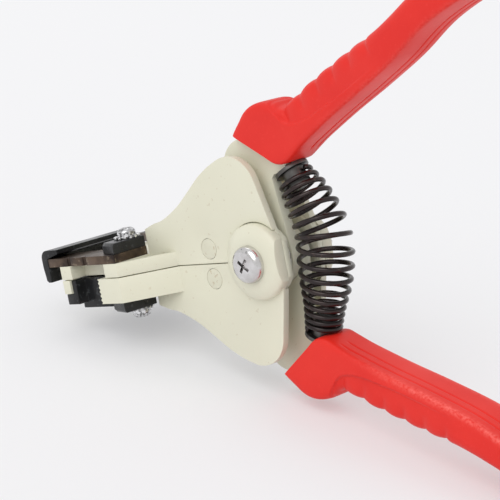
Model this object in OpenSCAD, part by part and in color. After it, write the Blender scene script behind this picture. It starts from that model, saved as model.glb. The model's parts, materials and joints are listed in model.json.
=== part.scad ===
/* [Plates] */
// Thickness of each pressed side plate
plate_t = 2; // [1.6:0.1:2.4]
// From the tool's middle to the inner face of a side plate
plate_in = 6.3; // [6.2:0.1:8]
// Length of the jaws in front of the plates, whose necks end there
jaw_front_l = 24; // [23:1:28]
// Half height of the neck
neck_h = 10.7; // [10:0.1:12.5]
// Radius of the lobe that covers a handle arm
lobe_r = 9.3; // [8.5:0.1:9.8]
// Height of the lobe's centre above the long axis
lobe_h = 18.8; // [18:0.1:21]
// Clearance of the slit between an upper and a lower plate
slit_gap = 0.3; // [0.2:0.05:0.6]
/* [Pivot] */
// Radius of the boss disc on a lower plate
boss_r = 10.2; // [9.8:0.1:12]
// How far the boss's rim stands proud of its plate
boss_proud = 0.8; // [0.6:0.1:1.6]
// Height of the boss's crown above its rim
boss_crown = 2.6; // [1.5:0.1:2.8]
// Radius of the main bolt's shank
bolt_r = 3; // [2.6:0.1:3.1]
// Radius of the main bolt's head
head_r = 5; // [4.8:0.05:5.6]
// Height of the main bolt's head
head_h = 2.6; // [2.2:0.1:3.4]
// Radial clearance in which a plate pair tilts on the bolt
tilt_gap = 0.8; // [0.75:0.05:0.9]
// Radial running clearance of a turning fit
run_gap = 0.05; // [0.03:0.01:0.08]
/* [Jaws] */
// Length from the bolt to the ends of the jaws
jaw_l = 66; // [60:1:72]
// How far the strip and the guard reach past the jaws
strip_over = 4.9; // [3:0.1:6]
// Half width across both jaw pairs
jaw_half_w = 21; // [19:0.5:23]
// Height of an upper jaw
upper_jaw_h = 3.9; // [3.5:0.1:5]
// Height of a lower jaw
lower_jaw_h = 7.1; // [6.5:0.1:8]
// Thickness of the bent finger's wall
finger_t = 2.2; // [1.8:0.1:2.6]
// Thickness of the notched blade strip
blade_t = 2.4; // [2:0.1:3]
// Depth of the wire window cut into a jaw
window_d = 5; // [4.5:0.1:6]
// Length of the wire window
window_l = 14.2; // [12:0.1:15]
// Length of the post in front of the window
tip_post_l = 4.5; // [4:0.1:5.5]
// Radius of a clamp screw's head
clamp_head_r = 2.6; // [2.3:0.1:3]
/* [Handles] */
// Thickness of a handle arm
arm_t = 3.1; // [2.6:0.1:3.2]
// Radius of the arm's hub around the main bolt
hub_r = 7.5; // [7:0.1:7.8]
// Distance behind the bolt of the grip's end centre
grip_l = 91; // [80:1:98]
// Height of the grip's end centre when open
grip_end_h = 65; // [60:1:68]
// Radius of the grip's outer front corner
grip_front_r = 4.3; // [3.8:0.1:4.6]
// Radius of the grip's rear end
grip_rear_r = 6.5; // [6:0.1:8]
// Width of a grip across the tool at its rear
grip_w = 15; // [13:0.5:18]
/* [Barrel spring] */
// Radius of the spring's wire
wire_r = 0.8; // [0.6:0.05:0.85]
// Radius of the coils at the middle
coil_mid_r = 7.1; // [6:0.1:7.5]
// Radius of the coils at the ends
coil_end_r = 4.3; // [4:0.1:5]
// Number of curls
curls = 14; // [10:1:14]

/* [Hidden] */
$fn = 64;

// Common values
over = 0.5;
dome_n = 6;
half = 0.5;
double = 2;
right_angle = 90;
half_gap = slit_gap / double;
face_gap = 0.4;
skin_gap = 0.1;

// Layers across the tool, measured from its middle
plate_out = plate_in + plate_t;
neck_l = jaw_l - jaw_front_l;
boss_out = plate_out + boss_proud;
head_seat = boss_out + boss_crown;
boss_in = plate_in + plate_t * half + skin_gap;
lug_out = boss_in - skin_gap;
lug_in = lug_out - plate_t;
lug_r = boss_r - face_gap;
bush_r = bolt_r + tilt_gap + plate_t * half * half;
arm_in = skin_gap;
arm_out = arm_in + arm_t;
sleeve_r = bolt_r + plate_t * half;
sleeve_out = arm_out + skin_gap;
thrust_t = 0.7;
thrust_r = hub_r - face_gap;
// Crown of the boss: shares of its radius and of its height
crown_shares = [[1, 0], [0.975, 0.32], [0.89, 0.58], [0.74, 0.84], [0.52, 1]];
crown_steps = 3;

// Outline of a plate, as shares of the sizes that it follows
// Front slope: shares of the neck's length and of the rise from the neck to the lobe's top
slope_shares = [
    [1, 0], [0.905, 0.075], [0.81, 0.126], [0.66, 0.3], [0.524, 0.53], [0.405, 0.741], [0.275, 0.912]
];
slope_steps = 4;
lobe_x_share = 0.6;
lobe_x = -lobe_x_share * lobe_r;
lobe_rise = lobe_h + lobe_r - neck_h;
lobe_start_angle = 114;
lobe_end_angle = 18;
lobe_step = 8;
waist_x_share = 0.68;
waist_h_share = 0.77;
rear_x_share = 0.92;
rear_h_share = 0.23;
rear_flat_share = 0.84;

// Bent finger
wall_end = jaw_l - tip_post_l - window_l;
wall_flat = 5.3;
ramp_l = 11;
bend_end = wall_end - wall_flat;
bend_start = bend_end - ramp_l;
tooth_lead_share = 0.25;
low_wall_end = wall_end + window_l * tooth_lead_share;
tooth_n = 6;
tooth_d = 0.7;
low_post_share = 0.65;
low_post_l = tip_post_l * low_post_share;
low_post_h_share = 0.55;
low_post_h = lower_jaw_h * low_post_h_share;
tip_l = jaw_l + strip_over;

// Jaw inserts
clamp_t = 3;
clamp_l = 7.2;
clamp_back = -neck_l - slit_gap;
clamp_in = plate_out + slit_gap;
clamp_w = jaw_half_w - face_gap - clamp_in;
clamp_slant_share = 0.2;
clamp_bevel_share = 0.25;
screw_x = clamp_back - clamp_l * half;
screw_in_share = 0.26;
screw_y = clamp_in + clamp_w * screw_in_share;
notch_shares = [0.3, 0.78];
notch_r_share = 0.3;
strip_tip_w = 7.2;
screw_r = clamp_head_r * half;
washer_over = 1.1;
washer_r = clamp_head_r + washer_over;
washer_root_share = 0.84;
// Domed screw heads: the dome's radius, its rim and its height as shares of the head's height or radius
bolt_dome_share = 0.72;
bolt_rim_share = 0.28;
bolt_top_share = 1.06;
clamp_dome_share = 0.55;
clamp_rim_share = 0.25;
clamp_top_share = 0.62;
// Cross recess: its half length, its half width and its depth as shares of the head
recess_l_share = 0.42;
recess_w_share = 0.09;
recess_d_share = 0.62;
recess_turn = 38;
washer_t = 0.8;
washer_teeth = 14;
beak_t = 2.4;
beak_h = 8.8;
beak_reach = 8.5;
beak_lip_w = 7;
lip_share = 0.8;
foot_t = 1.8;
rail_t = 1.6;

// Posts and closing springs
post_r = 2.75;
post_gap = 0.12;
post_x = 18;
post_h = 4.1;
post_in_share = 0.85;
post_in = plate_in - plate_t * post_in_share;
closing_r = 0.9;
stub_r = 1;
stub_l = 2;
eye_t = 0.8;

// Handles
elbow_r = 8.3;
elbow_x = -3.5;
elbow_h = 23.5;
grip_front_x = 2;
grip_front_h = 35.4;
grip_inner_x = 12.8;
grip_inner_h = 27.9;
grip_inner_r = 3.2;
grip_front_w = double * (plate_in - face_gap);
grip_edge = 2.2;
tang_front_x = 8.5;
tang_front_h = 30;
tang_front_r = 4.2;
tang_x = 30;
tang_h = 37;
tang_r = 2.2;
seat_x = 10.5;
seat_h = 20.5;
rings = 8;
sides = 6;
seat_r = coil_end_r * cos(double * right_angle / rings) - wire_r - skin_gap;
seat_l = 3.4;
seat_disc_t = 1;
seat_lug_r = 3.6;
bow = 6.9;
seat_lean = atan2(bow * PI, seat_h * double);

// Stance: the lower grip's underside lies on the floor
grip_dx = grip_l - grip_front_x;
grip_dh = grip_end_h - grip_front_h;
grip_run = sqrt(grip_dx * grip_dx + grip_dh * grip_dh);
stance = atan2(grip_dh, grip_dx) - asin((grip_front_r - grip_rear_r) / grip_run);
floor_drop = grip_front_h * cos(stance) - grip_front_x * sin(stance) + grip_front_r;
tip_x = -(tip_l + beak_t);
front_x = tip_x * cos(stance) - beak_h * sin(stance);
rear_x = grip_l * cos(stance) + grip_end_h * sin(stance) + grip_rear_r;
centre_x = (front_x + rear_x) * half;

module stand() {
    translate([-centre_x, 0, floor_drop]) rotate([0, -stance, 0]) children();
}

// A flat outline in the tool's plane, from depth y0 to depth y1
module slab(y0, y1) {
    translate([0, y1, 0]) rotate([right_angle, 0, 0]) linear_extrude(y1 - y0) children();
}

// A disc or ring about an axis across the tool
module ring(x, h, r, y0, y1, bore = 0) {
    translate([x, y1, h]) rotate([right_angle, 0, 0]) difference() {
        cylinder(r = r, h = y1 - y0);
        if (bore > 0) translate([0, 0, -over]) cylinder(r = bore, h = y1 - y0 + over * double);
    }
}

module far() { mirror([0, 1, 0]) children(); }
module below() { mirror([0, 0, 1]) children(); }

function arc(x, h, r, a0, a1, step) =
    [for (a = [a0 : (a1 > a0 ? step : -step) : a1]) [x + r * cos(a), h + r * sin(a)]];

// A smooth curve through points: a span eases from b to c and leaves each end along its neighbours
function span(a, b, c, d, t) = let (s = t * t * (3 - t * double), rest = 1 - t)
    b + s * (c - b) + half * t * rest * (rest * (c - a) - t * (d - b));
function curve(p, n) = let (last = len(p) - 1)
    [for (i = [0 : last - 1], k = [0 : n - 1])
        span(p[max(i - 1, 0)], p[i], p[i + 1], p[min(i + 2, last)], k / n)];

function plate_points() = concat(
    [[-neck_l, half_gap]],
    curve([for (s = slope_shares) [-neck_l * s[0], neck_h + lobe_rise * s[1]]], slope_steps),
    arc(lobe_x, lobe_h, lobe_r, lobe_start_angle, lobe_end_angle, lobe_step),
    [[boss_r * waist_x_share, boss_r * waist_h_share], [boss_r * rear_x_share, boss_r * rear_h_share]],
    [[0, boss_r * rear_h_share]],
    [[0, half_gap]]
);

// The finger, seen from above: bent out from the plate, then parallel to it, with the wire window
module finger_plan(end_x) {
    bend_x = -bend_start;
    flat_x = -bend_end;
    out = -jaw_half_w;
    polygon([
        [bend_x, -plate_out], [flat_x, out], [-end_x, out],
        [-end_x, out + window_d], [-jaw_l, out + window_d], [-jaw_l, -face_gap],
        [flat_x, -face_gap], [flat_x, out + finger_t * double], [bend_x, -plate_in]
    ]);
}

module tip_post_plan(w) {
    translate([-jaw_l, -jaw_half_w]) square([w, window_d + over]);
}

// What is cut off behind the bolt, so that the laps and the boss end flush with the plates' rear edges
module rear_flat() {
    translate([boss_r * rear_flat_share, -head_seat - over, -boss_r])
        cube([boss_r, head_seat + over, boss_r * double]);
}

// One side plate half: wing, lap at the bolt, bent finger, post hole
module upper_plate_body() {
    difference() {
        union() {
            slab(-plate_out, -plate_in) polygon(plate_points());
            ring(0, 0, lug_r, -lug_out, -lug_in);
            translate([0, 0, half_gap]) linear_extrude(upper_jaw_h - half_gap) {
                finger_plan(wall_end);
                tip_post_plan(tip_post_l);
            }
        }
        ring(0, 0, boss_r + slit_gap, -boss_out, -lug_out);
        ring(0, 0, bush_r + run_gap, -boss_out, 0);
        ring(-post_x, post_h, post_r + post_gap, -boss_out, -post_in);
        rear_flat();
        // the wing's lap ends at the slit in front and at the window behind
        translate([-jaw_l - over, -plate_out - over, -neck_h])
            cube([jaw_l + over - lug_r, plate_t + over * double, neck_h + half_gap]);
    }
}

module lower_plate_body() {
    difference() {
        union() {
            below() slab(-plate_out, -plate_in) polygon(plate_points());
            ring(0, 0, boss_r, -boss_out, -boss_in);
            translate([0, 0, -lower_jaw_h]) linear_extrude(lower_jaw_h - half_gap) lower_finger_plan();
            translate([0, 0, -low_post_h]) linear_extrude(low_post_h - half_gap)
                tip_post_plan(low_post_l);
            boss_cap();
        }
        ring(0, 0, boss_r + slit_gap, -boss_in, 0);
        ring(0, 0, bush_r + run_gap, -head_seat - over, 0);
        ring(-post_x, -post_h, post_r + post_gap, -boss_out, -post_in);
        translate([0, 0, -lower_jaw_h - over]) linear_extrude(lower_jaw_h + over) block_plan();
        rear_flat();
    }
}

// The lower finger stops behind the window, and an inner frame runs to the tip and holds the block
module lower_finger_plan() {
    bend_x = -bend_start;
    flat_x = -bend_end;
    in = -jaw_half_w + window_d;
    polygon([
        [bend_x, -plate_out], [flat_x, -jaw_half_w], [-low_wall_end, -jaw_half_w], [-low_wall_end, in],
        [-jaw_l, in], [-jaw_l, -face_gap], [flat_x, -face_gap], [flat_x, -jaw_half_w + finger_t * double],
        [bend_x, -plate_in]
    ]);
}

// The space of the block inside the lower jaw, open to the window
module block_plan() {
    translate([-jaw_l + rail_t, -jaw_half_w + window_d - over * double])
        square([jaw_l - rail_t - wall_end - over, jaw_half_w - window_d - face_gap - rail_t + over * double]);
}

// The boss's crown, which rises from the rim to the seat of the bolt's head
module boss_cap() {
    points = curve([for (s = crown_shares) [boss_r * s[0], boss_crown * s[1]]], crown_steps);
    translate([0, -boss_out, 0]) rotate([right_angle, 0, 0]) rotate_extrude()
        polygon(concat([[0, 0]], points, [[head_r + slit_gap, boss_crown], [0, boss_crown]]));
}

// Half outline of a domed head: a flat rim, a quarter round and a slightly crowned top
function dome(r, h, round_r, rim, top) =
    concat([[0, 0], [r, 0]], arc(r - round_r, h * rim, round_r, 0, right_angle, right_angle / dome_n),
        [[0, h * top]]);

// A cross sunk from the top of a head, which lies at z = 0
module recess(r, d) {
    for (a = [0, right_angle]) rotate([0, 0, a]) translate([-r * recess_l_share, -r * recess_w_share, -d])
        cube([r * recess_l_share * double, r * recess_w_share * double, d + over]);
}

module main_bolt() {
    color("silver") stand() {
        ring(0, 0, bolt_r, -head_seat, head_seat + head_h * double);
        difference() {
            translate([0, -head_seat, 0]) rotate([right_angle, 0, 0]) rotate_extrude()
                polygon(dome(head_r, head_h, head_h * bolt_dome_share, bolt_rim_share, bolt_top_share));
            translate([0, -head_seat - head_h, 0]) rotate([right_angle, recess_turn, 0])
                recess(head_r, head_h * recess_d_share);
        }
    }
}

module main_washer() {
    color("silver") stand() ring(0, 0, head_r, head_seat, head_seat + washer_t, bolt_r);
}

module main_nut() {
    color("silver") stand() difference() {
        translate([0, head_seat + washer_t + head_h, 0]) rotate([right_angle, 0, 0])
            cylinder(r = head_r, h = head_h, $fn = 6);
        ring(0, 0, bolt_r, 0, head_seat + head_h * double + over);
    }
}

module pivot_sleeve() {
    color("dimgray") stand() ring(0, 0, sleeve_r, -sleeve_out, sleeve_out, bolt_r);
}

module near_thrust_washer() {
    color("silver") stand() ring(0, 0, thrust_r, -sleeve_out - thrust_t, -sleeve_out, bolt_r);
}

module far_thrust_washer() {
    color("silver") stand() ring(0, 0, thrust_r, sleeve_out, sleeve_out + thrust_t, bolt_r);
}

module bush() { ring(0, 0, bush_r, -boss_out, -lug_in, bolt_r + tilt_gap); }
module near_bush() { color("dimgray") stand() bush(); }
module far_bush() { color("dimgray") stand() far() bush(); }

module post(h) {
    ring(-post_x, h, post_r, -plate_out, -plate_in);
    ring(-post_x, h, post_r + plate_t * half * half, -plate_in, -post_in);
    ring(-post_x, h, stub_r, -post_in, -post_in + stub_l);
}

module near_upper_plate() { color([0.87, 0.86, 0.78]) stand() upper_plate_body(); }
module near_lower_plate() { color([0.87, 0.86, 0.78]) stand() difference() {
    lower_plate_body();
    end_teeth();
} }
module far_upper_plate() { color([0.87, 0.86, 0.78]) stand() far() upper_plate_body(); }
module far_lower_plate() { color([0.87, 0.86, 0.78]) stand() far() lower_plate_body(); }

module end_teeth() {
    pitch = lower_jaw_h / tooth_n;
    for (i = [0 : tooth_n - 1]) translate([-low_wall_end, -jaw_half_w - over, -half_gap - pitch * (i + half)])
        rotate([-right_angle, 0, 0]) cylinder(r = tooth_d * half, h = finger_t + over * double);
}

module near_upper_post() { color([0.85, 0.84, 0.76]) stand() post(post_h); }
module near_lower_post() { color([0.85, 0.84, 0.76]) stand() post(-post_h); }
module far_upper_post() { color([0.85, 0.84, 0.76]) stand() far() post(post_h); }
module far_lower_post() { color([0.85, 0.84, 0.76]) stand() far() post(-post_h); }

// Flat strip on the upper jaw with two wire notches in its near edge
module strip() {
    out = -jaw_half_w + skin_gap;
    translate([0, 0, upper_jaw_h]) linear_extrude(blade_t) difference() {
        polygon([
            [-tip_l, out], [clamp_back, out], [clamp_back, -clamp_in],
            [clamp_back - clamp_l, -clamp_in], [-tip_l, out + strip_tip_w]
        ]);
        for (s = notch_shares) translate([-jaw_l + window_l * s, out]) circle(r = blade_t * notch_r_share);
        translate([screw_x, -screw_y]) circle(r = screw_r + run_gap);
    }
}

module notched_blade() { color([0.36, 0.28, 0.24]) stand() strip(); }
module upper_grip_pad() { color([0.36, 0.28, 0.24]) stand() far() strip(); }

// A block across the jaw with a slanted near side, and a bevel along its top there
module clamp_block(base) {
    bevel = clamp_t * clamp_bevel_share;
    difference() {
        translate([clamp_back - clamp_l, -clamp_in - clamp_w, base]) hull() {
            linear_extrude(clamp_t - bevel) clamp_plan();
            linear_extrude(clamp_t) translate([0, bevel]) clamp_plan();
        }
        translate([clamp_back - clamp_l - over, -clamp_in, base - over])
            cube([clamp_l + over * double, clamp_t, clamp_t + over * double]);
        translate([screw_x, -screw_y, base - over])
            cylinder(r = screw_r + run_gap, h = clamp_t + over * double);
    }
}

module clamp_plan() {
    polygon([[0, clamp_w * clamp_slant_share], [clamp_l, 0], [clamp_l, clamp_w], [0, clamp_w]]);
}

module toothed_washer(base) {
    translate([screw_x, -screw_y, base]) difference() {
        union() {
            cylinder(r = washer_r * washer_root_share, h = washer_t);
            for (i = [0 : washer_teeth - 1]) rotate([0, 0, i * 360 / washer_teeth])
                translate([0, -washer_t * half, 0]) cube([washer_r, washer_t, washer_t]);
        }
        translate([0, 0, -over]) cylinder(r = screw_r + run_gap, h = washer_t + over * double);
    }
}

module clamp_screw(base, depth) {
    r = clamp_head_r;
    translate([screw_x, -screw_y, base]) {
        translate([0, 0, -depth]) cylinder(r = screw_r, h = depth + over * half);
        difference() {
            rotate_extrude() polygon(dome(r, r, r * clamp_dome_share, clamp_rim_share, clamp_top_share));
            translate([0, 0, r * clamp_top_share]) rotate([0, 0, right_angle * half])
                recess(r, r * clamp_top_share * recess_d_share * recess_d_share);
        }
    }
}

strip_top = upper_jaw_h + blade_t;
clamp_top = strip_top + clamp_t;
block_low = lower_jaw_h;
low_clamp_top = block_low + clamp_t;

module upper_blade_clamp() { color([0.08, 0.08, 0.09]) stand() clamp_block(strip_top); }
module upper_lock_washer() { color("silver") stand() toothed_washer(clamp_top); }
module upper_clamp_screw() {
    color("silver") stand() clamp_screw(clamp_top + washer_t, clamp_t + washer_t + blade_t);
}
module upper_pad_washer() { color("silver") stand() far() toothed_washer(strip_top); }
module upper_pad_screw() {
    color("silver") stand() far() clamp_screw(strip_top + washer_t, washer_t + blade_t);
}

module lower_blade_clamp() { color([0.1, 0.1, 0.11]) stand() below() clamp_block(block_low); }
module lower_lock_washer() { color("silver") stand() below() toothed_washer(low_clamp_top); }
module lower_clamp_screw() {
    color("silver") stand() below() clamp_screw(low_clamp_top + washer_t, clamp_t + washer_t);
}

// Black plate across both jaw tips, bent back at the top, with a lip at its near end
module beak_guard() {
    back_x = -tip_l;
    flange_l = beak_t * double;
    flange_h = strip_top + skin_gap;
    color([0.05, 0.05, 0.06]) stand() {
        slab(-jaw_half_w, beak_reach) polygon(concat(
            [[back_x, upper_jaw_h + skin_gap], [back_x - beak_t, upper_jaw_h + skin_gap]],
            arc(back_x, beak_h - beak_t, beak_t, double * right_angle, right_angle, right_angle / 6),
            [[back_x + flange_l, beak_h], [back_x + flange_l, (beak_h + flange_h) * half], [back_x, flange_h]]
        ));
        slab(-jaw_half_w, -jaw_half_w + beak_lip_w) polygon([
            [back_x, upper_jaw_h + skin_gap * double], [back_x - beak_t, upper_jaw_h + skin_gap * double],
            [back_x - beak_t * lip_share, half_gap], [back_x - beak_t * half, -face_gap], [back_x, -face_gap]
        ]);
    }
}

// Block in the lower jaw, with a sole under it and a hook round the foot of the tip post
module lower_block() {
    hook_y = -jaw_half_w + over;
    hook_w = window_d - over - skin_gap;
    translate([0, 0, -lower_jaw_h]) linear_extrude(lower_jaw_h - half_gap - skin_gap) block_plan();
    translate([-jaw_l + rail_t, -jaw_half_w + window_d - over, -lower_jaw_h - foot_t])
        cube([jaw_l - rail_t - low_wall_end, jaw_half_w - window_d, foot_t]);
    translate([-jaw_l, hook_y, -lower_jaw_h])
        cube([tip_post_l + face_gap, hook_w, lower_jaw_h - low_post_h - skin_gap]);
    translate([-jaw_l + low_post_l + skin_gap, hook_y, -lower_jaw_h])
        cube([tip_post_l + face_gap - low_post_l - skin_gap, hook_w, lower_jaw_h - half_gap - skin_gap]);
}

module lower_blade_block() { color([0.1, 0.1, 0.1]) stand() lower_block(); }
module lower_grip_pad() { color([0.1, 0.1, 0.1]) stand() far() lower_block(); }
module lower_pad_washer() { color("silver") stand() far() below() toothed_washer(lower_jaw_h); }
module lower_pad_screw() {
    color("silver") stand() far() below() clamp_screw(lower_jaw_h + washer_t, washer_t);
}

// Tension coil between the stubs of two posts, with an eye at each end
module closing_spring() {
    y0 = -post_in + skin_gap;
    for (h = [-post_h, post_h]) ring(-post_x, h, stub_r + eye_t, y0, y0 + closing_r, stub_r + run_gap);
    translate([-post_x, y0 + closing_r, -post_h + stub_r + eye_t * half])
        cylinder(r = closing_r, h = double * (post_h - stub_r - eye_t * half));
}
module near_closing_spring() { color("dimgray") stand() closing_spring(); }
module far_closing_spring() { color("dimgray") stand() far() closing_spring(); }

// A bar between two end circles
module bar2d(p, q, r1, r2) {
    hull() {
        translate(p) circle(r = r1, $fn = 48);
        translate(q) circle(r = r2, $fn = 48);
    }
}

seat_back = wire_r + slit_gap + seat_disc_t;
lug_reach = seat_back + seat_lug_r;
seat_lug_x = seat_x - lug_reach * sin(seat_lean);
seat_lug_h = seat_h + lug_reach * cos(seat_lean);

module arm_plan() {
    bar2d([0, 0], [elbow_x, elbow_h], hub_r, elbow_r);
    bar2d([elbow_x, elbow_h], [tang_front_x, tang_front_h], elbow_r, tang_front_r);
    bar2d([tang_front_x, tang_front_h], [tang_x, tang_h], tang_front_r, tang_r);
    bar2d([elbow_x, elbow_h], [seat_lug_x, seat_lug_h], seat_lug_r, seat_lug_r);
}

module arm(y0, y1) {
    difference() {
        slab(y0, y1) arm_plan();
        ring(0, 0, sleeve_r + run_gap, y0 - over, y1 + over);
    }
}

module upper_arm() { color([0.85, 0.84, 0.76]) stand() arm(-arm_out, -arm_in); }
module lower_arm() { color([0.85, 0.84, 0.76]) stand() below() arm(arm_in, arm_out); }

// One end of a grip: a disc with its two edges drawn in
module grip_end(x, h, r, w) {
    slab(-w * half, w * half) translate([x, h]) circle(r = r - grip_edge, $fn = 32);
    slab(-w * half + grip_edge, w * half - grip_edge) translate([x, h]) circle(r = r, $fn = 32);
}

// A grip sleeved over the arm's tang: blunt in front, narrower where it nears the plates
module grip(y0, y1) {
    difference() {
        hull() {
            grip_end(grip_front_x, grip_front_h, grip_front_r, grip_front_w);
            grip_end(grip_inner_x, grip_inner_h, grip_inner_r, grip_front_w);
            grip_end(grip_l, grip_end_h, grip_rear_r, grip_w);
        }
        slab(y0, y1) arm_plan();
    }
}
module upper_grip() { color([0.9, 0.15, 0.12]) stand() grip(-arm_out, -arm_in); }
module lower_grip() { color([0.9, 0.15, 0.12]) stand() below() grip(arm_in, arm_out); }

// A disc under the arm's lug with a stud that the spring's end coil sits around
module seat() {
    translate([seat_x, 0, seat_h]) rotate([0, double * right_angle - seat_lean, 0]) {
        translate([0, 0, -seat_back]) cylinder(r = coil_end_r + wire_r * half, h = seat_disc_t);
        translate([0, 0, -seat_back]) cylinder(r = seat_r, h = seat_l + seat_back);
    }
}
module upper_spring_seat() { color("dimgray") stand() seat(); }
module lower_spring_seat() { color("dimgray") stand() below() seat(); }

// Barrel spring: a helix whose radius swells at the middle, along an arc bowed to the rear
swell_power = 0.8;
function spread(t) = coil_end_r + (coil_mid_r - coil_end_r) * pow(sin(180 * t), swell_power);
function path(t) = [seat_x + bow * sin(180 * t), 0, seat_h * (1 - double * t)];
function path_dir(t) = let (d = [bow * PI * cos(180 * t), 0, -seat_h * double]) d / norm(d);
function coil(t) = let (d = path_dir(t), a = 360 * curls * t)
    path(t) + spread(t) * (cos(a) * [d[2], 0, -d[0]] + sin(a) * [0, 1, 0]);
coil_n = curls * rings;
coil_pts = [for (i = [0 : coil_n]) coil(i / coil_n)];
function tangent(i) = let (d = coil_pts[min(i + 1, coil_n)] - coil_pts[max(i - 1, 0)]) d / norm(d);
function ring_pts(i) = let (t = tangent(i), c = path(i / coil_n) - coil_pts[i],
    n0 = c - (c * t) * t, n = n0 / norm(n0), b = cross(t, n))
    [for (k = [0 : sides - 1]) coil_pts[i] + wire_r * (cos(360 * k / sides) * n + sin(360 * k / sides) * b)];
spring_gap = min([for (i = [0 : coil_n - rings]) norm(coil_pts[i + rings] - coil_pts[i])]) - double * wire_r;

module barrel_spring() {
    echo(least_gap_of_the_spring_to_itself = spring_gap);
    pts = [for (i = [0 : coil_n]) each ring_pts(i)];
    last = coil_n * sides;
    walls = [for (i = [0 : coil_n - 1], k = [0 : sides - 1])
        each let (a = i * sides + k, b = i * sides + (k + 1) % sides)
            [[a, b, a + sides], [b, b + sides, a + sides]]];
    caps = [for (k = [1 : sides - 2]) each [[0, k + 1, k], [last, last + k, last + k + 1]]];
    color([0.16, 0.12, 0.11]) stand() polyhedron(points = pts, faces = concat(walls, caps));
}

main_bolt();
main_nut();
main_washer();
pivot_sleeve();
near_thrust_washer();
far_thrust_washer();
near_bush();
near_upper_plate();
near_upper_post();
notched_blade();
upper_blade_clamp();
upper_clamp_screw();
upper_lock_washer();
beak_guard();
near_lower_plate();
near_lower_post();
lower_blade_block();
lower_blade_clamp();
lower_clamp_screw();
lower_lock_washer();
near_closing_spring();
far_bush();
far_upper_plate();
far_upper_post();
upper_grip_pad();
upper_pad_screw();
upper_pad_washer();
far_lower_plate();
far_lower_post();
lower_grip_pad();
lower_pad_screw();
lower_pad_washer();
far_closing_spring();
upper_arm();
upper_grip();
upper_spring_seat();
lower_arm();
lower_grip();
lower_spring_seat();
barrel_spring();
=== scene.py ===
# %% [markdown]
# # A hand wire stripper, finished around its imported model
#
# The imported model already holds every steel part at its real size: the side plates, the jaws, the
# bolt and the screws. This lesson gives those parts rounded edges and real finishes, and it works
# out the soft and wound pieces as surfaces: two moulded grips and a barrel spring.
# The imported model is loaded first, because every later piece is placed by it.

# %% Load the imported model
import json
import math

import bpy
import numpy as np
from mathutils import Matrix


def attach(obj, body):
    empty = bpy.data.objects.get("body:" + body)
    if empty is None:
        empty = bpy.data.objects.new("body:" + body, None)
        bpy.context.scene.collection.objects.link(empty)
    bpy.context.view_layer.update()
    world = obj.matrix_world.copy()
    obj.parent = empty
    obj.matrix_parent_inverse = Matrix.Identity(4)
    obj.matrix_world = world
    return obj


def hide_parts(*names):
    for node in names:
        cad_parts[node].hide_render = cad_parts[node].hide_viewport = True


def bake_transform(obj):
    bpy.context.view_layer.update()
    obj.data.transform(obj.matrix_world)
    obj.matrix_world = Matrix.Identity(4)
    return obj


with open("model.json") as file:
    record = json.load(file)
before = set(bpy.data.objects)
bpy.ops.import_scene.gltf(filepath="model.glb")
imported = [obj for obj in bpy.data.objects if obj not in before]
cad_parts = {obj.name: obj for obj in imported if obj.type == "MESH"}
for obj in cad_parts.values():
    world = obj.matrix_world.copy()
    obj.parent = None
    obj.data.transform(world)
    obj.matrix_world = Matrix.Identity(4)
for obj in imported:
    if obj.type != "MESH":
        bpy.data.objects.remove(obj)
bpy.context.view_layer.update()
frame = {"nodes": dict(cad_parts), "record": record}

MM = 0.001
print("packed nodes:", len(frame["nodes"]))

# %% [markdown]
# ## The tool's own directions
#
# The tool stands tilted on its lower grip, so "along the jaws" isn't level. Reading the pivot and
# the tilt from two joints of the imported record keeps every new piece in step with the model, where
# numbers typed in a second time would drift apart from it. From here on, a place on the tool is
# (along, across, high) in millimetres, counted from the main bolt.

# %% The tool's frame
JOINT = {joint["name"]: joint for joint in frame["record"]["behaviour"]["joints"]}
PIVOT = np.array(JOINT["handle_squeeze"]["pos_m"])
HIGH = np.array(JOINT["near_spread"]["axis"])
ALONG = np.array([HIGH[2], 0.0, -HIGH[0]])
ACROSS = np.array([0.0, 1.0, 0.0])


def tool_place(along, across, high):
    """The pivot plus each distance times its own direction, for arrays of any one shape."""
    along, across, high = np.broadcast_arrays(along, across, high)
    return PIVOT + MM * (along[..., None] * ALONG + across[..., None] * ACROSS + high[..., None] * HIGH)


print("stance in degrees:", round(math.degrees(math.atan2(-HIGH[0], HIGH[2])), 2))

# %% [markdown]
# ## A camera at the photograph's angle
#
# The photograph looks at the near side from behind and a little above, through a long lens. The
# direction is kept as three angles, and the lens as a focal length, so each can be nudged alone.
# A rolled camera is turned about its own line of sight; setting its matrix from three unit vectors
# avoids an aiming constraint, which would level it again.

# %% Camera
AZIMUTH, ELEVATION, ROLL = (math.radians(a) for a in (42.49, 20.93, 3.65))
CAMERA_FAR = 500 * MM
CAMERA_AIM = PIVOT + np.array([-6.15, -5.35, 0.54]) * MM
CAMERA_NEAREST = 10 * MM
LENS = 136.9

sight = np.array([math.sin(AZIMUTH) * math.cos(ELEVATION), -math.cos(AZIMUTH) * math.cos(ELEVATION),
                  math.sin(ELEVATION)])
level = np.array([math.cos(AZIMUTH), math.sin(AZIMUTH), 0.0])
upward = np.cross(sight, level)
right = level * math.cos(ROLL) + upward * math.sin(ROLL)
top = upward * math.cos(ROLL) - level * math.sin(ROLL)

camera = bpy.data.objects.new("camera", bpy.data.cameras.new("camera"))
bpy.context.scene.collection.objects.link(camera)
camera.data.lens = LENS
camera.data.clip_start = CAMERA_NEAREST
pose = np.eye(4)
pose[:3, 0], pose[:3, 1], pose[:3, 2] = right, top, sight
pose[:3, 3] = CAMERA_AIM + sight * CAMERA_FAR
camera.matrix_world = Matrix(pose)
bpy.context.scene.camera = camera
print("camera stands at", np.round(pose[:3, 3], 3))

# %% [markdown]
# ## Small helpers for shader nodes
#
# A finish is a few nodes wired together, and the same steps come back in each: start a material,
# feed a socket, do a calculation. Wiring them by hand every time hides what a material does behind
# how it is wired. So each step gets a helper, and one that works something out returns the socket
# of its result, ready to be fed to the next.

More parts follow.
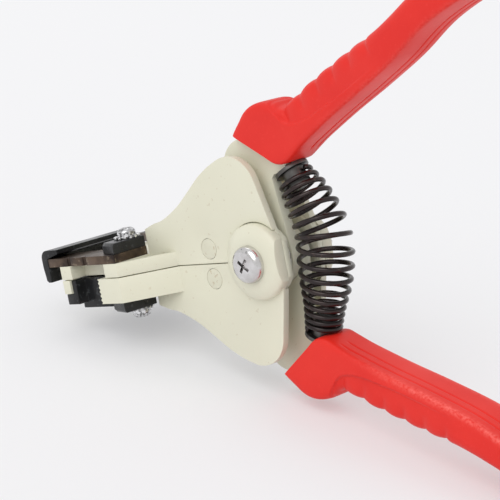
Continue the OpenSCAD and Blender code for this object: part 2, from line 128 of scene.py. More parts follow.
# %% Node helpers


def shader_tree(name):
    """A new material with its own node tree, and the Principled shader that it starts with."""
    material = bpy.data.materials.new(name)
    material.use_nodes = True
    return material, material.node_tree, material.node_tree.nodes["Principled BSDF"]


def feed(tree, socket, value):
    """Links a socket to another socket, or sets it to a plain value."""
    if isinstance(value, bpy.types.NodeSocket):
        tree.links.new(value, socket)
    else:
        socket.default_value = value


def calculated(tree, operation, first, second):
    """The result of one operation, such as ADD or MULTIPLY, on two values."""
    node = tree.nodes.new("ShaderNodeMath")
    node.operation = operation
    feed(tree, node.inputs[0], first)
    feed(tree, node.inputs[1], second)
    return node.outputs[0]


print("node helpers: shader_tree, feed, calculated")

# %% [markdown]
# ## A pale table
#
# The object stands on a plain white table. One large floor fills the whole picture, because the
# camera looks down on it. The picture's background is nearly white, but a floor that is painted so
# white throws too much light back at the object. So the paint is a pale grey, and a little glow is
# mixed in for the rays that come from the camera, a mirror or glass, and for no others. The paint
# under the glow still takes the object's shadow.

# %% Floor
FLOOR_HALF = 3.0
FLOOR_SHADE, FLOOR_ROUGH = (0.86, 0.86, 0.875, 1), 0.9
FLOOR_GLOW, GLOW_SHARE = (0.89, 0.89, 0.905, 1), 0.36

floor_mesh = bpy.data.meshes.new("floor")
corners = FLOOR_HALF * np.array([(-1, -1, 0), (1, -1, 0), (1, 1, 0), (-1, 1, 0)])
floor_mesh.from_pydata(corners.tolist(), [], [(0, 1, 2, 3)])
floor = bpy.data.objects.new("floor", floor_mesh)
bpy.context.scene.collection.objects.link(floor)

floor_paint, paint_tree, paint_shader = shader_tree("white_table")
paint_shader.inputs["Base Color"].default_value = FLOOR_SHADE
paint_shader.inputs["Roughness"].default_value = FLOOR_ROUGH
paint_shader.inputs["Specular IOR Level"].default_value = 0.0
ray = paint_tree.nodes.new("ShaderNodeLightPath")
seen = ray.outputs["Is Camera Ray"]
for kind in ("Is Glossy Ray", "Is Transmission Ray"):
    seen = calculated(paint_tree, "ADD", seen, ray.outputs[kind])
glow, glowing = paint_tree.nodes.new("ShaderNodeEmission"), paint_tree.nodes.new("ShaderNodeMixShader")
glow.inputs["Color"].default_value = FLOOR_GLOW
feed(paint_tree, glowing.inputs["Fac"], calculated(paint_tree, "MULTIPLY", seen, GLOW_SHARE))
feed(paint_tree, glowing.inputs[1], paint_shader.outputs[0])
feed(paint_tree, glowing.inputs[2], glow.outputs[0])
feed(paint_tree, paint_tree.nodes["Material Output"].inputs["Surface"], glowing.outputs[0])
floor_mesh.materials.append(floor_paint)
print("floor:", 2 * FLOOR_HALF, "m wide, glow share", GLOW_SHARE)

# %% [markdown]
# ## Soft studio light
#
# The photograph has the soft light of large studio lamps. The world gives an even light from all
# round. A wide distant key adds direction without darkening the far floor, as a near lamp would,
# and a small softbox on the left adds the window-shaped highlights on steel. The levels are plain,
# so that a colour renders about as it is written.

# %% World and lamps
WORLD_LIGHT, KEY_LIGHT, FILL_LIGHT = 0.78, 1.0, 0.5
KEY_WIDE = math.radians(50)
KEY_TURN = (math.radians(43), 0, math.radians(8))
FILL_PLACE, FILL_AIM, FILL_SIZE = (-0.55, 0.2, 0.75), (0, 0, 0.05), 0.35

world = bpy.data.worlds.new("studio")
world.use_nodes = True
world.node_tree.nodes["Background"].inputs["Color"].default_value = (1, 1, 1, 1)
world.node_tree.nodes["Background"].inputs["Strength"].default_value = WORLD_LIGHT
bpy.context.scene.world = world
bpy.context.scene.view_settings.view_transform = "Standard"


def softbox(name, place, aim, size, power):
    """A square area lamp at a place, turned so that its face looks at the aim."""
    lamp = bpy.data.objects.new(name, bpy.data.lights.new(name, "AREA"))
    lamp.data.size, lamp.data.energy = size, power
    away = np.array(place) - np.array(aim)
    away /= np.linalg.norm(away)
    side = np.cross([0, 0, 1], away)
    side /= np.linalg.norm(side)
    turn = np.eye(4)
    turn[:3, 0], turn[:3, 1], turn[:3, 2], turn[:3, 3] = side, np.cross(away, side), away, place
    lamp.matrix_world = Matrix(turn)
    bpy.context.scene.collection.objects.link(lamp)


key = bpy.data.objects.new("key_light", bpy.data.lights.new("key_light", "SUN"))
key.data.energy, key.data.angle = KEY_LIGHT, KEY_WIDE
key.rotation_euler = KEY_TURN
bpy.context.scene.collection.objects.link(key)
softbox("fill_softbox", FILL_PLACE, FILL_AIM, FILL_SIZE, FILL_LIGHT)
print("world, key and softbox:", WORLD_LIGHT, KEY_LIGHT, FILL_LIGHT)

# %% [markdown]
# ## A grid becomes a mesh
#
# Every new piece is a grid: one direction runs along a path, the other round a section. A grid is
# faster and cleaner to build as whole arrays than one vertex at a time. The helper joins each
# point to its neighbours with four-sided faces, closes the section, and puts a pole on each end.

# %% Grid to mesh


def grid_piece(name, rings, body):
    """Rings of points, shaped (rings, points, 3), joined round and along, with a pole at each end.

    A face joins point j and j + 1 of ring i to the same two of ring i + 1. Each pole is the mean
    of its end ring. A piece whose body is None rides on no body.
    """
    n, m, _ = rings.shape
    points = np.concatenate([rings.reshape(-1, 3), rings[0].mean(0)[None], rings[-1].mean(0)[None]])
    i, j = np.meshgrid(np.arange(n - 1), np.arange(m), indexing="ij")
    k = (j + 1) % m
    quads = np.stack([i * m + j, i * m + k, (i + 1) * m + k, (i + 1) * m + j], -1).reshape(-1, 4)
    j = np.arange(m)
    k = (j + 1) % m
    first = np.stack([k, j, np.full(m, n * m)], -1)
    last = np.stack([(n - 1) * m + j, (n - 1) * m + k, np.full(m, n * m + 1)], -1)
    mesh = bpy.data.meshes.new(name)
    mesh.from_pydata(points.tolist(), [], quads.tolist() + first.tolist() + last.tolist())
    mesh.shade_smooth()
    piece = bpy.data.objects.new(name, mesh)
    bpy.context.scene.collection.objects.link(piece)
    if body:
        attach(piece, body)
    return piece


print("grid helper: grid_piece")

# %% [markdown]
# ## Smooth curves and smooth steps
#
# A moulded outline is smooth, but it is measured at a few points. A Bezier curve would need two
# handles at each of them. The curve here needs the points alone, because it leaves each one along
# the line between its neighbours. A smooth step fades a detail in or out with no visible start.

# %% Curves and steps


def curve_through(points, count):
    """Evenly spaced samples of the smooth curve through the points.

    Each span eases from one point to the next by 3 t t - 2 t t t, and leaves each end along the
    line between that end's two neighbours.
    """
    p = np.asarray(points, float)
    t = np.linspace(0, len(p) - 1, count)
    i = np.minimum(t.astype(int), len(p) - 2)
    t = (t - i)[:, None]
    before, a, b, after = p[np.maximum(i - 1, 0)], p[i], p[i + 1], p[np.minimum(i + 2, len(p) - 1)]
    ease, rest = t * t * (3 - 2 * t), 1 - t
    return a + ease * (b - a) + 0.5 * t * rest * (rest * (b - before) - t * (after - a))


def step_up(x, low, high):
    """0 below low, 1 above high, and an even S-shaped rise between them: 3 t t - 2 t t t."""
    t = np.clip((x - low) / (high - low), 0, 1)
    return t * t * (3 - 2 * t)


print("a quarter of the way up its range, the smooth step has risen to", step_up(0.25, 0, 1))

# %% [markdown]
# ## Noise, stretch and mix
#
# Natural unevenness starts as a noise. The raw noise stays near one half, so it is stretched until
# it reaches both ends, and then it picks between two colours. Reading the part's own coordinates
# makes the grain stay put on the part when it moves.

# %% Pattern helpers


def stretched(tree, value, low, high, bottom=0.0, top=1.0):
    """A value on a straight line through (low, bottom) and (high, top), held between those two ends."""
    node = tree.nodes.new("ShaderNodeMapRange")
    sockets = ("Value", "From Min", "From Max", "To Min", "To Max")
    for socket, given in zip(sockets, (value, low, high, bottom, top)):
        feed(tree, node.inputs[socket], given)
    return node.outputs["Result"]


def mixed(tree, share, first, second):
    """The first colour times one minus the share, plus the second colour times the share."""
    node = tree.nodes.new("ShaderNodeMix")
    node.data_type = "RGBA"
    for socket, given in (("Factor", share), ("A", first), ("B", second)):
        feed(tree, node.inputs[socket], given)
    return node.outputs["Result"]


def noise_over_part(tree, scale, detail):
    """A noise over the part's own coordinates, from 0 to 1."""
    place, noise = tree.nodes.new("ShaderNodeTexCoord"), tree.nodes.new("ShaderNodeTexNoise")
    tree.links.new(place.outputs["Object"], noise.inputs["Vector"])
    feed(tree, noise.inputs["Scale"], scale)
    noise.inputs["Detail"].default_value = detail
    return noise.outputs["Fac"]


print("pattern helpers: stretched, mixed, noise_over_part")

# %% [markdown]
# ## Shared surface effects
#
# Paint, plastic and steel are never quite even. One node group makes that unevenness for all of
# them: wide clouds shift the colour a little, small specks stand for dust and pits, the roughness
# moves up and down with the clouds, and the surface gets a fine relief. It is built once, with
# named inputs, and each material sets its own values, which keeps the materials short and lets a
# reader compare them.

# %% Uneven surface group
COLOUR_INPUTS = ["Colour", "Tint", "Speck Colour"]
NUMBER_INPUTS = ["Cloud Scale", "Cloud Amount", "Speck Scale", "Speck Level", "Speck Amount", "Grain Scale",
                 "Grain Height", "Roughness Low", "Roughness High"]
GROUP_OUTPUTS = {"Colour": "NodeSocketColor", "Roughness": "NodeSocketFloat", "Normal": "NodeSocketVector"}
CLOUD_DETAIL, SPECK_DETAIL, GRAIN_DETAIL = 4, 3, 2
CLOUD_EDGES, ROUGH_EDGES, SPECK_EDGE = (0.36, 0.64), (0.3, 0.7), 0.05
RELIEF = 0.05 * MM


def uneven_surface():
    """A group: three noises over Object coordinates drive colour, specks, roughness and relief.

    Clouds are a noise stretched to run from 0 to 1, times an amount. Specks are what stands above a
    level in a finer noise, times their own amount. Roughness runs from low to high with the clouds.
    Relief is a third noise, as a bump's height.
    """
    group = bpy.data.node_groups.new("uneven_surface", "ShaderNodeTree")
    for name in COLOUR_INPUTS:
        group.interface.new_socket(name, in_out="INPUT", socket_type="NodeSocketColor")
    for name in NUMBER_INPUTS:
        group.interface.new_socket(name, in_out="INPUT", socket_type="NodeSocketFloat")
    for name, kind in GROUP_OUTPUTS.items():
        group.interface.new_socket(name, in_out="OUTPUT", socket_type=kind)
    given, out = group.nodes.new("NodeGroupInput").outputs, group.nodes.new("NodeGroupOutput").inputs

    cloud = noise_over_part(group, given["Cloud Scale"], CLOUD_DETAIL)
    clouds = calculated(group, "MULTIPLY", stretched(group, cloud, *CLOUD_EDGES), given["Cloud Amount"])
    above = calculated(group, "SUBTRACT", noise_over_part(group, given["Speck Scale"], SPECK_DETAIL),
                       given["Speck Level"])
    specks = calculated(group, "MULTIPLY", stretched(group, above, 0, SPECK_EDGE), given["Speck Amount"])
    clouded = mixed(group, clouds, given["Colour"], given["Tint"])
    feed(group, out["Colour"], mixed(group, specks, clouded, given["Speck Colour"]))
    feed(group, out["Roughness"],
         stretched(group, cloud, *ROUGH_EDGES, given["Roughness Low"], given["Roughness High"]))

    bump = group.nodes.new("ShaderNodeBump")
    bump.inputs["Distance"].default_value = RELIEF
    feed(group, bump.inputs["Strength"], given["Grain Height"])
    feed(group, bump.inputs["Height"], noise_over_part(group, given["Grain Scale"], GRAIN_DETAIL))
    feed(group, out["Normal"], bump.outputs["Normal"])
    return group


UNEVEN = uneven_surface()
print("uneven surface group:", len(COLOUR_INPUTS) + len(NUMBER_INPUTS), "inputs,", len(UNEVEN.nodes), "nodes")

# %% [markdown]
# ## From the group to a finish
#
# Each finish is one Principled shader with the group in front of it. The group gives what changes
# over the surface. What is the same all over, such as how metallic it is or how thick its coat,
# is set on the shader itself.

# %% One finish


def finish_material(name, colours, cloud, speck, grain, rough, metal=0.0, coat=0.0, coat_rough=0.1,
                    specular=0.5):
    """A Principled material whose colour, roughness and relief come from the shared group.

    colours are the ground, the clouds' tint and the specks'. cloud is (scale, amount), speck
    (scale, level, amount), grain (scale, height) and rough (low, high).
    """
    material, tree, shader = shader_tree(name)
    effect = tree.nodes.new("ShaderNodeGroup")
    effect.node_tree = UNEVEN
    for socket, value in zip(COLOUR_INPUTS, colours):
        effect.inputs[socket].default_value = (*value, 1)
    for socket, value in zip(NUMBER_INPUTS, (*cloud, *speck, *grain, *rough)):
        effect.inputs[socket].default_value = value
    for output, socket in [("Colour", "Base Color"), ("Roughness", "Roughness"), ("Normal", "Normal")]:
        tree.links.new(effect.outputs[output], shader.inputs[socket])
    shader.inputs["Metallic"].default_value = metal
    shader.inputs["Coat Weight"].default_value = coat
    shader.inputs["Coat Roughness"].default_value = coat_rough
    shader.inputs["Specular IOR Level"].default_value = specular
    return material


print("finish helper: finish_material")

# %% [markdown]
# ## Painted and moulded finishes
#
# The plates and arms are sprayed with a cream enamel, which has the faint orange-peel relief of
# stoved paint and a few brown pits. The posts' ends are painted over too, a shade darker. The grips
# are a soft red moulding with paler dust in it. In all three the tint lies close to the ground,
# because paint and plastic read as dirty when their clouds can be told apart.

# %% Paint and plastic
BROWN_PIT = (0.5, 0.41, 0.27)
FINISHES = {
    "painted_plate": finish_material(
        "cream_enamel", [(0.74, 0.725, 0.585), (0.70, 0.685, 0.54), BROWN_PIT], cloud=(45, 0.5),
        speck=(760, 0.675, 0.35), grain=(900, 0.25), rough=(0.34, 0.46), coat=0.15, coat_rough=0.25),
    "post_steel": finish_material(
        "cream_rivet", [(0.70, 0.685, 0.55), (0.62, 0.605, 0.47), BROWN_PIT], cloud=(160, 0.5),
        speck=(900, 0.6, 0.6), grain=(900, 0.3), rough=(0.32, 0.5), coat=0.15, coat_rough=0.25),
    "red_grip": finish_material(
        "red_moulding", [(0.79, 0.026, 0.016), (0.72, 0.02, 0.014), (0.86, 0.05, 0.04)], cloud=(55, 0.7),
        speck=(1300, 0.62, 0.2), grain=(1500, 0.35), rough=(0.36, 0.5), specular=0.3),
}
print("painted and moulded finishes:", len(FINISHES))

# %% [markdown]
# ## Steel finishes
#
# The bolt, its nut and its washers are plated bright. The small screws and their washers glitter in
# many tiny facets, so they take a rougher plating with dark specks. The strips on the upper jaws are
# hardened steel with brown heat tints. The clamps, the blocks and the guard are black. The sleeve,
# the bushes, the closing springs and the spring seats are oiled. The barrel spring is tempered wire,
# nearly black with a brown cast. Plain grey metal would mirror the white room and look like chalk,
# so each steel has two colours that differ clearly.

# %% Steels
DARK_PIT = (0.1, 0.1, 0.1)
FINISHES |= {
    "bright_steel": finish_material(
        "bright_plate", [(0.76, 0.75, 0.75), (0.5, 0.48, 0.47), DARK_PIT], cloud=(260, 0.6),
        speck=(500, 0.66, 0.5), grain=(2600, 0.12), rough=(0.12, 0.26), metal=1.0),
    "speckled_steel": finish_material(
        "rough_plate", [(0.85, 0.85, 0.86), (0.4, 0.4, 0.41), DARK_PIT], cloud=(900, 0.8),
        speck=(1500, 0.52, 0.8), grain=(1600, 0.8), rough=(0.15, 0.35), metal=1.0),
    "dark_steel": finish_material(
        "oiled_steel", [(0.16, 0.155, 0.15), (0.09, 0.085, 0.08), DARK_PIT], cloud=(200, 0.7),
        speck=(900, 0.6, 0.5), grain=(2200, 0.2), rough=(0.3, 0.5), metal=1.0),
    "tinted_steel": finish_material(
        "heat_tinted_steel", [(0.15, 0.105, 0.075), (0.035, 0.026, 0.024), (0.3, 0.24, 0.17)],
        cloud=(170, 0.95), speck=(700, 0.6, 0.5), grain=(2400, 0.25), rough=(0.28, 0.45), metal=0.85),
    "black_steel": finish_material(
        "black_oxide", [(0.007, 0.007, 0.008), (0.017, 0.018, 0.019), (0.07, 0.075, 0.08)],
        cloud=(220, 0.7), speck=(800, 0.62, 0.5), grain=(1800, 0.3), rough=(0.24, 0.4), coat=0.12,
        coat_rough=0.15, specular=0.25),
    "spring_steel": finish_material(
        "tempered_wire", [(0.035, 0.022, 0.02), (0.015, 0.011, 0.012), (0.09, 0.06, 0.045)],
        cloud=(90, 0.8), speck=(900, 0.62, 0.5), grain=(1500, 0.12), rough=(0.22, 0.36), metal=0.7,
        coat=0.3),
}
print("finishes in all:", len(FINISHES))

# %% [markdown]
# ## Smooth faces with crisp corners
#
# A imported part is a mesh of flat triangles, so a turned bolt would show its facets. Smooth shading
# alone would smear its real corners too. This small geometry group shades every face smooth, and
# then marks as sharp each edge at which the surface turns by more than a limit.

# %% Corner shading group
SHARP_FROM = math.radians(32)


def corner_shading():
    """A geometry group: every face is smooth, and an edge that turns past the limit stays sharp."""
    group = bpy.data.node_groups.new("corner_shading", "GeometryNodeTree")
    group.interface.new_socket("Geometry", in_out="INPUT", socket_type="NodeSocketGeometry")
    group.interface.new_socket("Geometry", in_out="OUTPUT", socket_type="NodeSocketGeometry")
    nodes, link = group.nodes, group.links.new
    given, out = nodes.new("NodeGroupInput"), nodes.new("NodeGroupOutput")
    faces, edges = nodes.new("GeometryNodeSetShadeSmooth"), nodes.new("GeometryNodeSetShadeSmooth")
    faces.domain, edges.domain = "FACE", "EDGE"
    edges.inputs["Shade Smooth"].default_value = False
    angle, sharp = nodes.new("GeometryNodeInputMeshEdgeAngle"), nodes.new("FunctionNodeCompare")
    sharp.inputs["B"].default_value = SHARP_FROM
    link(given.outputs["Geometry"], faces.inputs["Geometry"])
    link(faces.outputs["Geometry"], edges.inputs["Geometry"])
    link(angle.outputs["Unsigned Angle"], sharp.inputs["A"])
    link(sharp.outputs["Result"], edges.inputs["Selection"])
    link(edges.outputs["Geometry"], out.inputs["Geometry"])
    return group


CORNERS = corner_shading()
print("corner shading group:", len(CORNERS.nodes), "nodes")

# %% [markdown]
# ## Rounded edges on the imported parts
#
# Pressed and turned steel never has a knife edge, and a thin round along each edge catches the
# light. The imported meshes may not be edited, but they may take modifiers: Weld joins their loose
# triangles, Bevel rounds every edge sharper than a limit, and the group above shades the result.
# The width of the round belongs to the finish, because a stamped plate is rounder than a screw.

# %% Edge rounding
WELD_GAP = 0.004 * MM
EDGE_LIMIT, EDGE_STEPS = math.radians(28), 3
EDGE_ROUND = {"painted_plate": 0.35, "post_steel": 0.25, "bright_steel": 0.12, "dark_steel": 0.12,
              "tinted_steel": 0.15, "black_steel": 0.3, "spring_steel": 0.1, "red_grip": 0.3}
SPECKLED = {"upper_clamp_screw", "upper_lock_washer", "lower_clamp_screw", "lower_lock_washer",
            "upper_pad_screw", "upper_pad_washer", "lower_pad_screw", "lower_pad_washer"}


def finish_node(node, slot):
    """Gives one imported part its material, its rounded edges and its shading."""
    part = frame["nodes"][node]
    for place in part.material_slots:
        place.material = FINISHES["speckled_steel" if node in SPECKLED else slot]
    weld = part.modifiers.new("weld", "WELD")
    weld.merge_threshold = WELD_GAP
    bevel = part.modifiers.new("round", "BEVEL")
    bevel.width, bevel.segments, bevel.limit_method = EDGE_ROUND[slot] * MM, EDGE_STEPS, "ANGLE"
    bevel.angle_limit = EDGE_LIMIT
    part.modifiers.new("shade", "NODES").node_group = CORNERS


for part in frame["record"]["subparts"]:
    finish_node(part["node"], part["material_slot"])

# %% [markdown]
# ## The moulded grips: their outlines
#
# Each grip is a red sleeve with a blunt front, a rounded head in front of the fingers, five shallow
# scallops along its outer edge, and a flatter inner side with two thin sunk lines. It could be
# sculpted, but two edge curves and a section that travels along them describe it exactly: the
# outer curve carries the head and the scallops, the inner curve the back. The places are (along,
# high) on the handle, and the half widths go with them one by one.

# %% Grip outlines
OUTER_EDGE = [(-2.9, 32.3), (-1.9, 33.4), (0.2, 35.4), (2.6, 37.6), (5.4, 39.0), (8.6, 39.5),
              (12.2, 39.1), (15.6, 38.2), (27.5, 43.5), (40.5, 48.4), (52.0, 52.2), (63.5, 58.0),
              (76.0, 65.2), (87.0, 70.2), (93.0, 70.9), (96.0, 69.3), (96.8, 67.2)]
INNER_EDGE = [(9.9, 23.9), (10.4, 23.3), (11.3, 22.9), (12.6, 22.8), (14.4, 23.2), (16.6, 24.4),
              (18.8, 25.7), (22.0, 27.4), (32.5, 32.4), (45.0, 37.9), (57.5, 43.9), (69.5, 51.2),
              (81.5, 57.4), (90.5, 60.9), (94.2, 62.5), (96.1, 64.3), (96.9, 66.4)]
HALF_WIDTH = [5.9, 5.9, 5.9, 5.9, 5.9, 5.9, 5.95, 6.1, 6.5, 6.9, 7.2, 7.4, 7.4, 7.0, 5.6, 3.2, 1.0]
GRIP_RINGS, GRIP_POINTS = 360, 208

outer, inner = curve_through(OUTER_EDGE, GRIP_RINGS), curve_through(INNER_EDGE, GRIP_RINGS)
half_width = curve_through(np.array(HALF_WIDTH)[:, None], GRIP_RINGS)
middle, reach = (outer + inner) / 2, (outer - inner) / 2
reach_length = np.linalg.norm(reach, axis=1, keepdims=True)
print("grip: widest", 2 * half_width.max(), "mm, thickest", round(2 * float(reach_length.max()), 1), "mm")

# %% [markdown]
# ## The moulded grips: the section
#
# Cut across, a grip is a rounded box, boxier at its blunt front and on its inner side, and rounder
# where the fingers lie. A superellipse does both with one number, its power. A slight ridge runs
# along both inner corners, as the photograph shows on the lower grip.

# %% Grip section
FINGER_POWER, INNER_POWER = 3.2, 6.5
FINGER_BOXY, INNER_BOXY, BOXY_TO_ROUND = 8, 5, (2, 16)
RIDGE_RISE, RIDGE_WIDE, RIDGE_FROM_INNER = 0.03, math.radians(7), math.pi / 4
RIDGE_STARTS, RIDGE_ENDS = (6, 14), (70, 90)


def grip_section(u):
    """The section's x (inner to outer edge), its y (across) and its ridge, at places u along the grip.

    x and y are the cosine and sine of an angle, over the n-th root of the sum of their n-th powers,
    and a higher n is boxier. The ridge is a bell curve round each of the two inner corners.
    """
    angle = np.linspace(0, 2 * np.pi, GRIP_POINTS, endpoint=False)[None]
    c, s = np.cos(angle), np.sin(angle)
    boxy = 1 - step_up(u, *BOXY_TO_ROUND)
    n = np.where(c > 0, FINGER_POWER + FINGER_BOXY * boxy, INNER_POWER + INNER_BOXY * boxy)
    radius = (np.abs(c) ** n + np.abs(s) ** n) ** (-1 / n)
    ridge = np.exp(-(((np.abs(angle - np.pi) - RIDGE_FROM_INNER) / RIDGE_WIDE) ** 2))
    ridge = ridge * step_up(u, *RIDGE_STARTS) * (1 - step_up(u, *RIDGE_ENDS))
    radius = radius * (1 + RIDGE_RISE * ridge)
    return radius * c, radius * s, ridge


for u in (0, 45):
    x, y, _ = grip_section(u)
    print("at", u, "mm the section's corners reach", round(float(np.hypot(x, y).max()), 2), "half widths")

# %% [markdown]
# ## The moulded grips: their details
#
# Three details are pressed into that sleeve: the scallops for the fingers, the flatter finger zone
# with its curved front edge, and the two thin lines on the inner side. Cutting them with boolean
# solids would leave hard edges that no mould has. Here each is a depth, worked out for every point
# of the grid, and it fades in and out with the smooth step.

# %% Grip details
SCALLOP_FROM, SCALLOP_PITCH, SCALLOPS, SCALLOP_DEEP = 15.2, 6.5, 5, 0.8
SCALLOP_SHARP, SCALLOP_LEAD, SCALLOP_TAIL, SCALLOP_SIDE = 0.55, 3, 2, (-0.15, 0.45)
ZONE_DEEP, ZONE_EDGE, ZONE_LOWEST, ZONE_CURVE = 0.8, 0.12, -0.62, 1.62
ZONE_FROM, ZONE_FALL, ZONE_STARTS, ZONE_ENDS = 11, 7.5, (10.5, 12), (30, 56)
LINE_DEEP, LINE_WIDE, LINES = 0.32, 0.26, (0.8, 3.4)
LINE_SIDE, LINE_STARTS, LINE_ENDS = (-0.97, -0.9), (9, 14), (80, 90)


def scallop_dent(u, x):
    """Depth of the scallops: one minus a small power of a sine is a narrow notch between two of them."""
    notch = 1 - np.abs(np.sin(np.pi * (u - SCALLOP_FROM) / SCALLOP_PITCH)) ** SCALLOP_SHARP
    end = SCALLOP_FROM + SCALLOPS * SCALLOP_PITCH
    inside = step_up(u, SCALLOP_FROM - SCALLOP_LEAD, SCALLOP_FROM)
    inside = inside * (1 - step_up(u, end, end + SCALLOP_TAIL))
    return SCALLOP_DEEP * notch * inside * step_up(x, *SCALLOP_SIDE)


def finger_zone(at, x):
    """Depth of the finger zone: sunk where x is above a bound, which falls exponentially with at."""
    bound = ZONE_LOWEST + ZONE_CURVE * np.exp(-(at - ZONE_FROM) / ZONE_FALL)
    sunk = ZONE_DEEP * step_up(x, bound, bound + ZONE_EDGE)
    return sunk * (1 - step_up(at, *ZONE_ENDS)) * step_up(at, *ZONE_STARTS)


def moulded_lines(u, x, across):
    """Depth of the sunk lines: a bell curve across the inner side, round each line's place."""
    line = LINE_DEEP * sum(np.exp(-(((across - place) / LINE_WIDE) ** 2)) for place in LINES)
    return line * (1 - step_up(x, *LINE_SIDE)) * step_up(u, *LINE_STARTS) * (1 - step_up(u, *LINE_ENDS))


print("grip details:", SCALLOPS, "scallops and", len(LINES), "lines")

# %% [markdown]
# ## The moulded grips: the whole surface
#
# The sleeve is the section carried along both edges, less the depths of its details. The packed
# model leans both handles alike, and the photograph doesn't, so each grip is turned and moved a
# little on its own arm, by an amount that fades out towards its rear end. The lower grip is the
# upper one turned half round the tool's length, with the opposite lean. A half turn, unlike a
# mirror image, keeps its faces pointing outwards.

# %% Grip surface
HANDLE_TURN, HANDLE_SLIDE, HANDLE_RISE, LEAN_ENDS = 0.022, -0.5, 1.0, (62, 90)
ZONE_ON_EDGE, ZONE_EDGE_SIDE, DENT_ON_SIDES = 0.5, (0.6, 1), 0.8


def grip_rings(side):
    """Sections of a grip between its outer and inner edge curves. side is 1 above and -1 below.

    A point is middle + x times the half line to the outer edge + y times the half width, each less
    the depths of the details there. Its own lean is a small turn about the bolt, plus a shift.
    """
    u = outer[:, :1]
    x, y, _ = grip_section(u)
    dent = scallop_dent(u, x)
    zone = finger_zone(middle[:, :1] + x * reach[:, :1], x)
    line = moulded_lines(u, x, y * half_width)
    edge = dent + ZONE_ON_EDGE * zone * step_up(x, *ZONE_EDGE_SIDE)
    x = x * (1 - edge / reach_length) + line / reach_length
    across = y * (half_width - DENT_ON_SIDES * dent - zone)
    plane = middle[:, None] + x[..., None] * reach[:, None]
    own = side * (1 - step_up(plane[..., 0], *LEAN_ENDS))
    along = plane[..., 0] - own * (HANDLE_TURN * plane[..., 1] - HANDLE_SLIDE)
    high = plane[..., 1] + own * (HANDLE_TURN * plane[..., 0] + HANDLE_RISE)
    return tool_place(along, side * across, side * high)


upper_rings, lower_rings = grip_rings(1), grip_rings(-1)
print("grips: two surfaces of", GRIP_RINGS, "by", GRIP_POINTS)

# %% [markdown]
# ## Painted highlights along the ridges
#
# The proud ridges catch the light in a pale band, and that highlight is painted into the colour
# here, in grains rather than in an even band. A painted texture would need a UV map. Instead, each
# grip stores the painted highlight's strength at every point as a mesh attribute, and the material
# breaks that band up with a fine noise.

# %% Painted ridge highlights
# A painted highlight: where it starts along the grip, the noise that breaks it into grains, and its pale red.
SHINE_STARTS = (10, 42)
SHINE_SCALE, SHINE_DETAIL, SHINE_EDGES = 1300, 2, (0.28, 0.78)
SHINE_RED = (0.98, 0.21, 0.18, 1)

# The painted highlight's strength at each point: the ridge's bell curve, faded in from the grip's front.
painted_ridge_shine = grip_section(outer[:, :1])[2] * step_up(outer[:, :1], *SHINE_STARTS)


def paint_ridge_shine(material):
    """A painted highlight in pale grains along the ridges: a noise, stretched from 0 to the piece's stored
    strength.
    """
    tree = material.node_tree
    shine = tree.nodes.new("ShaderNodeAttribute")
    shine.attribute_name = "painted_ridge_shine"
    grains = stretched(tree, noise_over_part(tree, SHINE_SCALE, SHINE_DETAIL), *SHINE_EDGES,
                       0.0, shine.outputs["Fac"])
    base = tree.nodes["Principled BSDF"].inputs["Base Color"]
    feed(tree, base, mixed(tree, grains, base.links[0].from_socket, SHINE_RED))


paint_ridge_shine(FINISHES["red_grip"])
# Prints the strongest painted highlight on a ridge.
print("worn ridges: most wear", round(float(painted_ridge_shine.max()), 2))

# %% [markdown]
# ## The two grips
#
# The front of a real grip isn't a flat wall round the arm: it has a thin rim and turns inwards a
# little. Two more sections, smaller than the first, make that step: one stands a little proud, and
# the other lies a little deeper. Then each surface becomes a piece that rides on its own handle and
# stands for the imported grip. The lower grip gets the stronger painted highlight on its ridges.

# %% Grip pieces
RIM_SIZE, MOUTH_SIZE, RIM_PROUD_SHARE, MOUTH_DEEP, FRONT_RINGS = 0.94, 0.9, 0.3, 0.3 * MM, 12
# How strongly the painted highlight shows on each grip's ridges.
UPPER_SHINE, LOWER_SHINE = 0.2, 0.8


def make_grip(name, node, body, rings, shine):
    """One grip: its first section, shrunk twice round its centre, makes the rim and the mouth."""
    centre = rings[0].mean(0)
    inward = rings[FRONT_RINGS].mean(0) - centre
    inward *= MOUTH_DEEP / np.linalg.norm(inward)
    rim = centre + (rings[0] - centre) * RIM_SIZE - RIM_PROUD_SHARE * inward
    mouth = centre + (rings[0] - centre) * MOUTH_SIZE + inward
    grip = grid_piece(name, np.concatenate([mouth[None], rim[None], rings]), body)
    # Each point of the grip stores how strongly the painted ridge highlight shows there.
    shiny = np.zeros(len(grip.data.vertices), np.float32)
    shiny[2 * GRIP_POINTS:-2] = shine * painted_ridge_shine.ravel()
    grip.data.attributes.new("painted_ridge_shine", "FLOAT", "POINT").data.foreach_set("value", shiny)
    grip.data.materials.append(FINISHES["red_grip"])
    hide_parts(node)
    print(name, "has", len(grip.data.vertices), "vertices")


make_grip("upper_grip_moulding", "upper_grip", "upper_handle", upper_rings, UPPER_SHINE)
make_grip("lower_grip_moulding", "lower_grip", "lower_handle", lower_rings, LOWER_SHINE)

# %% [markdown]
# ## The barrel spring: its wire
#
# The handles are pushed apart by a spring wound fatter at its middle, which bows to the rear. Its
# turns lie close at both ends and wide apart at the middle. A Screw modifier can change neither its
# radius nor its pitch along a bent axis, so the wire is worked out: a bowed centre line, a radius
# that swells along it, a count of turns that crowds towards both ends, and a round tube carried
# along the resulting helix.

# %% Spring wire
SPRING_LINE = [(10.5, 20.3), (13.2, 15.0), (15.9, 8.3), (16.6, 3.2), (15.8, -2.2), (14.4, -8.2),
               (12.4, -14.4), (10.5, -20.3)]
SPRING_RADIUS = [4.4, 5.8, 6.55, 6.95, 6.95, 6.3, 5.0, 4.3]
LEAST_TURNS, CROWDING, LOOSEST_AT = 10.8, 14, 0.44
WIRE_R, WIRE_SIDES, TURN_RINGS, LINE_SAMPLES = 0.68, 12, 32, 2000


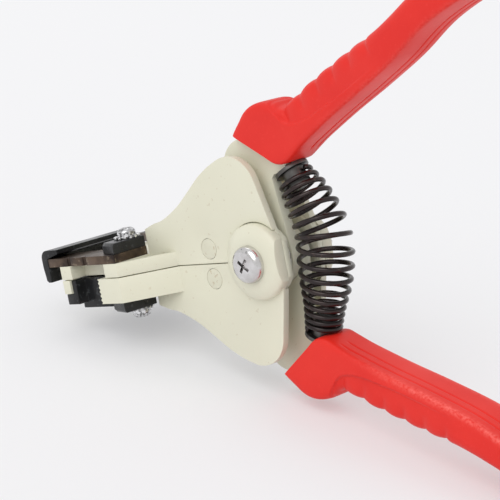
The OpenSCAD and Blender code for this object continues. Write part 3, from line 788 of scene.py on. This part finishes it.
def unit(v):
    """The same directions at length one."""
    return v / np.linalg.norm(v, axis=-1, keepdims=True)


def turns_made(s):
    """Turns up to a share s of the line: least s + crowding ((2s - 2m)^3 + (2m)^3) / 6.

    m is the share at which the turns lie widest apart.
    """
    return LEAST_TURNS * s + CROWDING * ((2 * s - 2 * LOOSEST_AT) ** 3 + (2 * LOOSEST_AT) ** 3) / 6


def spring_wire():
    """Rings of wire along a helix of swelling radius round a bowed line.

    Helix: line + radius (cos a normal + sin a across). Ring: helix + wire radius (cos b inward +
    sin b sideways), where inward points at the line and sideways is square to it and to the wire.
    """
    fine = curve_through(SPRING_LINE, LINE_SAMPLES)
    run = np.append(0, np.cumsum(np.linalg.norm(np.diff(fine, axis=0), axis=1)))
    turned = turns_made(run / run[-1])
    even = np.linspace(0, turned[-1], int(turned[-1] * TURN_RINGS))
    swell = curve_through(np.array(SPRING_RADIUS)[:, None], LINE_SAMPLES)[:, 0]
    along, high, radius = (np.interp(even, turned, values) for values in (fine[:, 0], fine[:, 1], swell))
    line = np.stack([along, 0 * even, high], -1)
    normal = unit(np.cross(np.gradient(line, axis=0), ACROSS))
    a = 2 * np.pi * even[:, None]
    helix = line + radius[:, None] * (np.cos(a) * normal + np.sin(a) * ACROSS)
    tangent = unit(np.gradient(helix, axis=0))
    inward = line - helix
    inward = unit(inward - (inward * tangent).sum(-1, keepdims=True) * tangent)
    sideways = np.cross(tangent, inward)
    b = np.linspace(0, 2 * np.pi, WIRE_SIDES, endpoint=False)[None, :, None]
    return helix[:, None] + WIRE_R * (np.cos(b) * inward[:, None] + np.sin(b) * sideways[:, None])


wire = spring_wire()
print("spring:", round(float(turns_made(1.0)), 1), "turns in", wire.shape[0], "rings")

# %% [markdown]
# ## The barrel spring: between two handles
#
# The spring stands between two handles. On the real tool its upper end follows one handle and its
# lower end the other, and it bends between them. Riding on one handle would tear it off the other,
# so here it rides on neither: it belongs to no body and its place is baked into its mesh, so it stays
# still as the handles close. The two places a little beyond its own ends are worked out but not used.

# %% Spring piece
BLEND_HIGH = 24.8

spring = grid_piece("barrel_spring_wire", tool_place(wire[..., 0], wire[..., 1], wire[..., 2]), None)
spring.data.materials.append(FINISHES["spring_steel"])
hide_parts("barrel_spring")
tuple(tool_place(SPRING_LINE[0][0], 0, BLEND_HIGH))
tuple(tool_place(SPRING_LINE[-1][0], 0, -BLEND_HIGH))
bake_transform(spring)
print("spring vertices:", len(spring.data.vertices))
